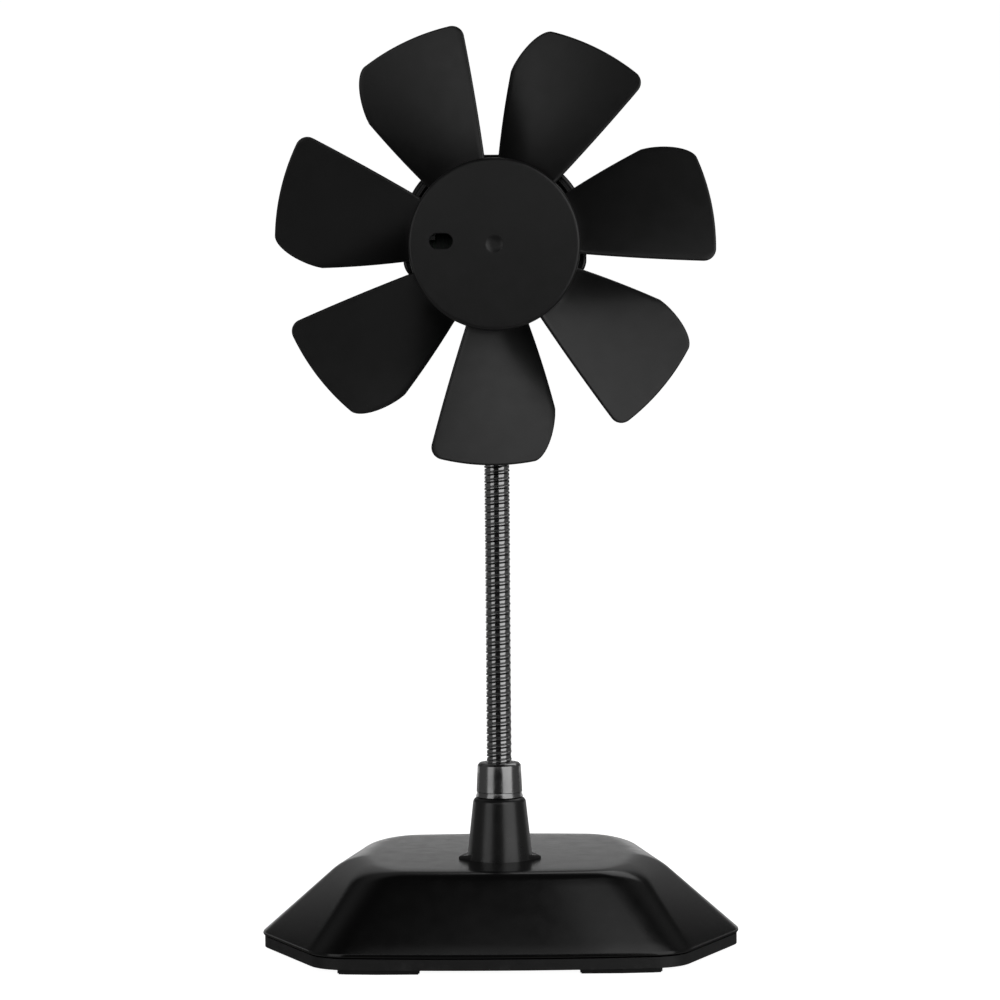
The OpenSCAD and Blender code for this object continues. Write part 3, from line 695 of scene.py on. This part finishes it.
def wound_piece(name, first_turn, last_turn):
    """The gooseneck between two turns, counted from where its bending length begins.
    The wire winds right-handed, so the ends are one turn of a ramp with a step at the rear."""
    points, faces = [], []

    def add_skin(steps, radii):
        """Adds a skin's points in columns, with this many steps to a turn and radii that repeat. Gives the
        point numbers of each column, with the first again at the end, one turn up, and the rows of faces."""
        rows = (last_turn - first_turn) * steps
        columns = []
        for i in range(ROUND_ANGLES):
            angle = TAU * (i / ROUND_ANGLES + 0.25)
            length = rows + 1 + (steps if i == 0 else 0)
            columns.append(list(range(len(points), len(points) + length)))
            for j in range(length):
                radius = radii[j % len(radii)]
                z = FLEX_Z0 + PITCH * (first_turn + j / steps + i / ROUND_ANGLES - 0.5)
                points.append((radius * math.cos(angle), radius * math.sin(angle), z))
        return columns + [columns[0][steps:]], rows

    wire, rows = add_skin(PITCH_STEPS, wound_profile())
    liner, liner_rows = add_skin(LINER_STEPS, [LINER_R])
    for i in range(ROUND_ANGLES):
        left, right = wire[i], wire[i + 1]
        faces += [(left[j], right[j], right[j + 1], left[j + 1]) for j in range(rows)]
        in_left, in_right = liner[i], liner[i + 1]
        faces += [(in_left[j], in_left[j + 1], in_right[j + 1], in_right[j]) for j in range(liner_rows)]
        faces.append((left[0], in_left[0], in_right[0], right[0]))
        faces.append((left[rows], right[rows], in_right[liner_rows], in_left[liner_rows]))
    faces.append(tuple(wire[0][:PITCH_STEPS + 1] + liner[0][LINER_STEPS::-1]))
    faces.append(tuple(wire[0][:rows - 1:-1] + liner[0][liner_rows:]))
    return solid(name, to_neck(points), faces)


def gooseneck():
    """Eight pieces, one for each hinge, each of whole turns of wire. The first and the last go on into their
    ferrules, and each hides the CAD links that it stands in for."""
    for k in range(HINGES):
        first = k * TURNS - (SOCKET_TURNS if k == 0 else 0)
        last = (k + 1) * TURNS + (SOCKET_TURNS if k == HINGES - 1 else 0)
        piece = wound_piece(f"gooseneck_{k + 1}", first, last)
        nodes = [f"neck_link_{k}" if k else "neck_root"] + (["neck_end"] if k == HINGES - 1 else [])
        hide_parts(*nodes)
        finish_piece(piece, "black_chrome", crease=50)
        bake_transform(piece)


# ---------------------------------------------------------------- head

# In fan space, the height of the middle of the housing's outline, and the place of its right screw
OUTLINE_MID = -3
SCREW_X, SCREW_Y = 14, 5


def housing_outline(inset=0.0):
    """Outline of the motor housing: a rounded square above that tapers to the neck below.
    Three circles on the right are joined by tangents, and the left is their mirror image."""
    top, top_r = np.array([4.6, 4.4]), 18.0
    side, side_r = np.array([17.6, -3.6]), 5.0
    low, low_r = np.array([0.0, -13.2]), 7.5
    d = side - low
    taper = math.degrees(math.atan2(d[1], d[0]) - math.acos((low_r - side_r) / np.linalg.norm(d)))
    right = arc(low, low_r - inset, -90, taper, 12) + arc(side, side_r - inset, taper, 0, 16)
    right += arc(top, top_r - inset, 0, 90, 30)
    return np.array(right + [(-x, y) for x, y in right[-1:0:-1]])


def fan_ring(outline, depth):
    return to_fan(np.column_stack([outline, np.full(len(outline), float(depth))]))


def circle_ring(radius, depth):
    """A ring round the axis, matched point for point with the housing's outline so that skins don't twist."""
    outline = housing_outline()
    angles = np.arctan2(outline[:, 1] - OUTLINE_MID, outline[:, 0])
    ring = np.column_stack([radius * np.cos(angles), radius * np.sin(angles)])
    return fan_ring(ring, depth)


def screw_space(side):
    """Maps the space of the right (1) or left (-1) screw, with Z forwards, to the object's frame."""
    return lambda p: to_fan(p + (SCREW_X * side, SCREW_Y, 0))


def motor_housing():
    """Cup with a double rim in front, round the hub's edge, and a stem that holds the upper ferrule."""
    wall, tube_r, rim_r, bore_r = 1.3, 4.02, 0.75, STUD_R + 0.02
    front, back = HOUSING_FRONT, HOUSING_BACK
    face, floor_z = front - 0.5, front - wall - 0.5
    outer = [(0.25, back), (0.07, back + 0.07), (0.0, back + 0.25), (0.0, back + 5)]
    outer += [(rim_r - rim_r * math.cos(a), front - rim_r + rim_r * math.sin(a))
              for a in np.radians([0, 20, 40, 60, 80])]
    outer += [(0.85, front - 0.02), (0.95, front - 0.1), (0.97, front - 1.1), (1.55, front - 1.1),
              (1.57, front - 0.1), (1.67, front), (1.95, front), (2.1, front - 0.1), (2.7, face), (5.0, face)]
    inner = [(5.0, floor_z), (wall, floor_z), (wall, back + 5), (wall, back)]
    rings = [fan_ring(housing_outline(i), z) for i, z in outer]
    rings += [circle_ring(r, face) for r in (9.0, tube_r)]
    rings += [circle_ring(r, floor_z) for r in (tube_r, 9.0)]
    rings += [fan_ring(housing_outline(i), z) for i, z in inner]
    housing = loft("motor_housing_moulding", rings, "loop")
    stem_z0 = FLEX_Z1 + FERRULE_H
    stem_h = FAN_Z - 18 - stem_z0
    stem = [(bore_r, 0), (5.55, 0), (5.7, 0.1), (6.42, 0.75), (6.52, 0.95), (7.2, stem_h),
            (7.2, stem_h + 2), (bore_r, stem_h + 2)]

    def stem_space(p):
        return to_neck(p + (0, 0, stem_z0))

    join(housing, lathe("stem", stem, stem_space, segments=96))
    cut(housing, lathe("stud_bore", [(bore_r, -1), (bore_r, 18)], stem_space, "points", 48))
    post = [(1.4, back + 1.5), (2.8, back + 1.5), (2.8, front - wall), (1.4, front - wall)]
    for side in (-1, 1):
        join(housing, lathe("post", post, screw_space(side), segments=32))
    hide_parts("motor_housing")
    return finish_piece(housing, "satin_black_plastic", "head", 30)


def rear_cap():
    """Domed cap with a lip that enters the housing and two sunk screw seats."""
    wall, gap, corner = 1.3, 0.2, 4.2
    depth = HOUSING_BACK - CAP_BACK
    boss_step, seat_z = HOUSING_BACK + 0.2, CAP_BACK + 3.5

    def dome(inset, steps):
        rings = []
        for a in np.radians(np.linspace(0, 90, steps)):
            z = HOUSING_BACK - gap - (depth - gap - inset) * math.sin(a)
            rings.append(fan_ring(housing_outline(inset + corner * (1 - math.cos(a))), z))
        return rings

    outside, inside = dome(0.0, 15), dome(wall, 9)
    for skin, inset, z, shares in ((outside, 0, CAP_BACK, (0.75, 0.5, 0.25)),
                                   (inside, wall, CAP_BACK + wall, (0.6, 0.3))):
        last = housing_outline(inset + corner)
        for share in shares:
            skin.append(fan_ring(last * share + (0, OUTLINE_MID * (1 - share)), z))
    lip = [(0.2, HOUSING_BACK - 0.12), (wall + 0.1, HOUSING_BACK - 0.12), (wall + 0.1, HOUSING_BACK + 1.5),
           (wall + 1.0, HOUSING_BACK + 1.5), (wall + 1.0, HOUSING_BACK - 0.3)]
    lip_rings = [fan_ring(housing_outline(i), z) for i, z in lip]
    cap = loft("rear_cap_moulding", outside[::-1] + lip_rings + inside, "points")
    boss = [(3.6, CAP_BACK + 0.6), (3.6, boss_step), (2.8, boss_step), (2.8, HOUSING_BACK + 1.4)]
    seat = [(3.3, CAP_BACK - 0.6), (2.7, CAP_BACK + 0.25), (2.7, seat_z), (1.6, seat_z),
            (1.6, HOUSING_BACK + 3)]
    for side in (-1, 1):
        join(cap, lathe("boss", boss, screw_space(side), "points", 48))
        cut(cap, lathe("seat", seat, screw_space(side), "points", 48))
    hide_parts("rear_cap")
    return finish_piece(cap, "satin_black_plastic", "head", 30)


# ---------------------------------------------------------------- impeller

BLADES = 7
FIRST_BLADE = 180.6
# How far forward a blade's middle line is, its rise in mm for each degree, and its camber
BLADE_MID = 27.5
BLADE_STEP = 0.285
BLADE_CAMBER = 0.1
BLADE_COLUMNS = 26
# Where the corners of a blade's tip begin to round, on its clockwise and its anticlockwise edge
CORNER_R0 = TIP_R - 2.95
KNEE_R = TIP_R - 11.15


def round_off(t):
    return 1 - math.sqrt(max(0.0, 1 - t * t))


def blade_edges(r):
    """Clockwise and anticlockwise edge of a blade at radius r, in degrees from its middle line."""
    clockwise = 18.9 - 0.054 * (r - HUB_R)
    anticlockwise = -23.4 + 0.132 * (r - HUB_R)
    if r > CORNER_R0:
        clockwise -= 3.3 * round_off((r - CORNER_R0) / (TIP_R - CORNER_R0))
    if r > KNEE_R:
        anticlockwise += 8.5 * round_off((r - KNEE_R) / (TIP_R - KNEE_R)) ** 0.6
    return clockwise, anticlockwise


def blade_loop(r, thickness):
    """Closed section of a blade at radius r: a cambered sheet with thin, rounded edges, in fan space."""
    edge_round, edge_share = 0.45, 0.72
    clockwise, anticlockwise = blade_edges(r)
    step = BLADE_STEP * 180 / math.pi
    edge = min(edge_round, thickness / 2) / (math.radians(clockwise - anticlockwise) * r)
    round_s = [edge * (1 - math.cos(a)) for a in np.radians([0, 30, 60, 90])]
    inner_s = list(np.linspace(edge, 1 - edge, BLADE_COLUMNS)[1:-1])
    s_values = round_s + inner_s + [1 - s for s in round_s[::-1]]
    depth = [math.sin(a) for a in np.radians([0, 30, 60, 90])]
    t_values = depth + [1.0] * len(inner_s) + depth[::-1]
    loop = []
    for side, order in ((1, range(len(s_values))), (-1, range(len(s_values) - 2, 0, -1))):
        for k in order:
            s = s_values[k]
            phi = math.radians(anticlockwise + s * (clockwise - anticlockwise))
            z = BLADE_MID + BLADE_STEP * math.degrees(phi) - BLADE_CAMBER * 4 * s * (1 - s)
            normal = np.array([-step * math.cos(phi), step * math.sin(phi), r]) / math.hypot(r, step)
            middle = np.array([r * math.sin(phi), r * math.cos(phi), z])
            taper = edge_share + (1 - edge_share) * math.sin(math.pi * s)
            loop.append(middle + side * thickness / 2 * taper * t_values[k] * normal)
    return np.array(loop)


def blade(turn):
    """One blade, turned clockwise by turn degrees, with a flare at its root and a rounded tip."""
    root_t, tip_t, flare, flare_run, tip_round = 1.5, 1.1, 0.25, 1.2, 0.45
    radii = list(np.linspace(HUB_R - 0.8, HUB_R + 2.4, 9)) + list(np.linspace(HUB_R + 4, KNEE_R, 12))
    radii += [KNEE_R + (TIP_R - tip_round - KNEE_R) * math.sin(a) for a in np.radians(np.linspace(8, 90, 16))]
    rings = []
    for r in radii:
        thickness = root_t + (tip_t - root_t) * (r - HUB_R) / (TIP_R - HUB_R)
        thickness += flare * max(0.0, 1 - (r - HUB_R) / flare_run) ** 2
        rings.append(blade_loop(r, thickness))
    for a in np.radians([25, 45, 65, 82]):
        rings.append(blade_loop(TIP_R - tip_round + tip_round * math.sin(a), tip_t * math.cos(a)))
    c, s = math.cos(math.radians(turn)), math.sin(math.radians(turn))
    spin = np.array([[c, s, 0], [-s, c, 0], [0, 0, 1]])
    return closed_sheet("blade", [to_fan(ring @ spin.T) for ring in rings])


def closed_sheet(name, rings):
    """A skin over rings whose first and last ring are closed flat, strip by strip."""
    n = len(rings[0])
    half = n // 2
    points = [p for ring in rings for p in ring]
    faces = []
    for i in range(len(rings) - 1):
        a, b = i * n, (i + 1) * n
        faces += [(a + j, a + (j + 1) % n, b + (j + 1) % n, b + j) for j in range(n)]
    for start, flip in ((0, True), ((len(rings) - 1) * n, False)):
        for j in range(half):
            quad = [start + j, start + j + 1, start + (n - j - 1) % n, start + (n - j) % n]
            quad = [q for k, q in enumerate(quad) if q not in quad[:k]]
            faces.append(tuple(quad[::-1] if flip else quad))
    return solid(name, points, faces)


def impeller():
    """Hub cup, closed in front, with seven blades, a gate dimple and a balancing slot."""
    edge_r, wall, face_t, boss_r, shaft_r = 0.8, 1.4, 1.6, 3.6, 1.5
    core_r, dimple_r, dimple_d = 0.6, 1.95, 0.2
    dimple_z, face_z, bore_z, boss_z = HUB_FRONT - dimple_d, HUB_FRONT - face_t, HUB_FRONT - 0.7, 31.4
    profile = [(core_r, dimple_z), (dimple_r - 0.3, dimple_z), (dimple_r, HUB_FRONT - 0.04),
               (dimple_r + 0.15, HUB_FRONT), (dimple_r + 0.4, HUB_FRONT), (8.0, HUB_FRONT),
               (14.0, HUB_FRONT), (HUB_R - edge_r - 0.3, HUB_FRONT)]
    profile += arc((HUB_R - edge_r, HUB_FRONT - edge_r), edge_r, 90, 0, 7)
    profile += [(HUB_R, 30.0), (HUB_R, 25.0), (HUB_R, HUB_RIM + 0.2), (HUB_R - 0.2, HUB_RIM),
                (HUB_R - wall, HUB_RIM), (HUB_R - wall, 26.0), (HUB_R - wall, face_z), (boss_r, face_z),
                (boss_r, boss_z), (shaft_r, boss_z), (shaft_r, bore_z), (core_r, bore_z)]
    hub = lathe("impeller_moulding", profile, to_fan, "points", 160)
    for i in range(BLADES):
        join(hub, blade(FIRST_BLADE + i * 360 / BLADES))
    slot_x, slot_y, slot_r, slot_half, flare = -13.0, 0.85, 1.85, 0.95, 0.18
    angles = np.radians(np.linspace(0, 360, 48, endpoint=False))
    rings = []
    for r, z in ((slot_r, 28.0), (slot_r, HUB_FRONT - flare), (slot_r + flare, HUB_FRONT),
                 (slot_r + 3 * flare, HUB_FRONT + 2 * flare)):
        x = slot_x + r * np.cos(angles) + np.sign(np.cos(angles) + 1e-9) * slot_half
        rings.append(to_fan(np.column_stack([x, slot_y + r * np.sin(angles), np.full(48, z)])))
    cut(hub, loft("slot", rings, "points"))
    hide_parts("impeller")
    return finish_piece(hub, "impeller_plastic", "rotor", 34)


# ---------------------------------------------------------------- pieces that keep their CAD shape

ROUNDED = {
    "base_plate": 0.35, "rubber_feet": 0.3, "cover_screws": 0.12, "cap_screws": 0.15, "switch_body": 0.25,
    "rocker_button": 0.35, "cable_grommet": 0.3,
}


def soften(node, radius):
    """Rounds the sharp edges of a CAD piece that shows."""
    shown = frame["nodes"][node]
    weld = shown.modifiers.new("weld", "WELD")
    weld.merge_threshold = 0.001 * MM
    bevel = shown.modifiers.new("soft_edges", "BEVEL")
    bevel.width = radius * MM
    bevel.segments = 3
    bevel.limit_method = "ANGLE"
    bevel.angle_limit = math.radians(35)
    bevel.harden_normals = True


def dress_cad_nodes():
    """Gives every CAD piece the finish of its slot, and soft edges where it shows."""
    for part in frame["record"]["subparts"]:
        node, slot = part["node"], part["material_slot"]
        data = frame["nodes"][node].data
        data.materials.clear()
        data.materials.append(FINISHES[slot])
    for node, radius in ROUNDED.items():
        soften(node, radius)


# ---------------------------------------------------------------- stage

AMBIENT, SIDE_LIGHT, CEILING_LIGHT, FLOOR_LIGHT, WALL_LIGHT = 0.014, 0.09, 0.14, 0.14, 0.22


def floor():
    """Plain pale floor that runs back and sweeps up behind the object. It glows, so that it stays pale
    without a flood of light, and only the camera sees it: what the object reflects is the studio round it."""
    half, front, back, radius, top = 6.0, -3.0, 3.0, 1.5, 5.0
    line = [(front, 0.0), (-1.0, 0.0), (0.0, 0.0), (1.0, 0.0)]
    line += [(back + radius * math.sin(a), radius - radius * math.cos(a))
             for a in np.radians(np.linspace(0, 90, 16))]
    line.append((back + radius, top))
    points = [(x, y, z) for y, z in line for x in (-half, half)]
    faces = [(2 * i, 2 * i + 1, 2 * i + 3, 2 * i + 2) for i in range(len(line) - 1)]
    mesh = bpy.data.meshes.new("floor")
    mesh.from_pydata(points, [], faces)
    mesh.shade_smooth()
    made = make_object("floor", mesh)
    pale = Finish("pale_floor", (grey(0.78), grey(0.80)), (0.8, 0.9))
    pale.shader.inputs["Emission Color"].default_value = (1, 1, 1, 1)
    pale.shader.inputs["Emission Strength"].default_value = 0.97
    mesh.materials.append(pale.done())
    made.visible_glossy = made.visible_diffuse = made.visible_transmission = made.visible_shadow = False


def softbox(name, azimuth, elevation, distance, width, height, radiance):
    """Rectangular area light that faces the object. Azimuth 0 is in front, 90 on the right."""
    target = Vector((0, NECK_Y * MM, 0.10))
    a, e = math.radians(azimuth), math.radians(elevation)
    way = Vector((math.sin(a) * math.cos(e), -math.cos(a) * math.cos(e), math.sin(e)))
    data = bpy.data.lights.new(name, "AREA")
    data.shape = "RECTANGLE"
    data.size, data.size_y = width, height
    data.energy = radiance * math.pi * width * height
    light = bpy.data.objects.new(name, data)
    light.location = target + way * distance
    light.rotation_mode = "QUATERNION"
    light.rotation_quaternion = way.to_track_quat("Z", "Y")
    light.visible_camera = False
    bpy.context.scene.collection.objects.link(light)


def surroundings():
    """A white room to the camera. What lights and shows in the object is a dim room with paler sides, back
    wall, ceiling and floor."""
    world = bpy.data.worlds.new("studio")
    bpy.context.scene.world = world
    world.use_nodes = True
    tree = world.node_tree
    background = tree.nodes["Background"]

    def feed(value, socket):
        if isinstance(value, bpy.types.NodeSocket):
            tree.links.new(value, socket)
        else:
            socket.default_value = value

    def maths(operation, a, b=0.0):
        made = tree.nodes.new("ShaderNodeMath")
        made.operation = operation
        feed(a, made.inputs[0])
        feed(b, made.inputs[1])
        return made.outputs["Value"]

    def ramp(value, start, end, level):
        made = tree.nodes.new("ShaderNodeMapRange")
        made.interpolation_type = "SMOOTHSTEP"
        for key, number in zip(("Value", "From Min", "From Max", "To Min", "To Max"),
                               (value, start, end, 0.0, level)):
            feed(number, made.inputs[key])
        return made.outputs["Result"]

    way = tree.nodes.new("ShaderNodeSeparateXYZ")
    feed(tree.nodes.new("ShaderNodeTexCoord").outputs["Generated"], way.inputs["Vector"])
    x, y, z = (way.outputs[k] for k in "XYZ")
    wall = maths("MULTIPLY", ramp(y, 0.70, 0.92, WALL_LIGHT), ramp(z, 0.86, 0.50, 1.0))
    wall = maths("MULTIPLY", wall, maths("ADD", ramp(z, 0.12, 0.36, 0.5), 0.5))
    total = maths("ADD", wall, AMBIENT)
    ceiling = maths("MULTIPLY", ramp(z, 0.40, 0.80, CEILING_LIGHT), ramp(y, -0.15, 0.45, 1.0))
    sides = ramp(maths("ABSOLUTE", x), 0.5, 0.95, SIDE_LIGHT)
    for part in (sides, ceiling, ramp(z, -0.35, -0.75, FLOOR_LIGHT)):
        total = maths("ADD", total, part)
    seen = tree.nodes.new("ShaderNodeLightPath").outputs["Is Camera Ray"]
    feed(maths("MAXIMUM", total, seen), background.inputs["Strength"])
    background.inputs["Color"].default_value = (1, 1, 1, 1)


def studio():
    surroundings()
    softbox("key_right", 43, 16, 1.6, 1.6, 1.9, 0.95)
    softbox("fill_left", -46, 8, 1.7, 1.0, 1.2, 0.7)
    softbox("front_card", 0, 20.5, 0.36, 0.5, 0.06, 0.55)
    softbox("low_wall", 180, -7.5, 0.46, 1.2, 0.09, 0.55)
    softbox("rear_high", 148, 52, 1.5, 1.0, 1.0, 0.8)
    bpy.context.scene.view_settings.view_transform = "Standard"


dress_cad_nodes()
base_cover()
neck_boot()
ferrule("lower_collar", "lower_ferrule", "base", lower_high.z - FERRULE_H - lower_low.z, False)
ferrule("upper_collar", "upper_ferrule", "head", upper_high.z - FLEX_Z1 - FERRULE_H, True)
gooseneck()
motor_housing()
rear_cap()
impeller()
floor()
studio()
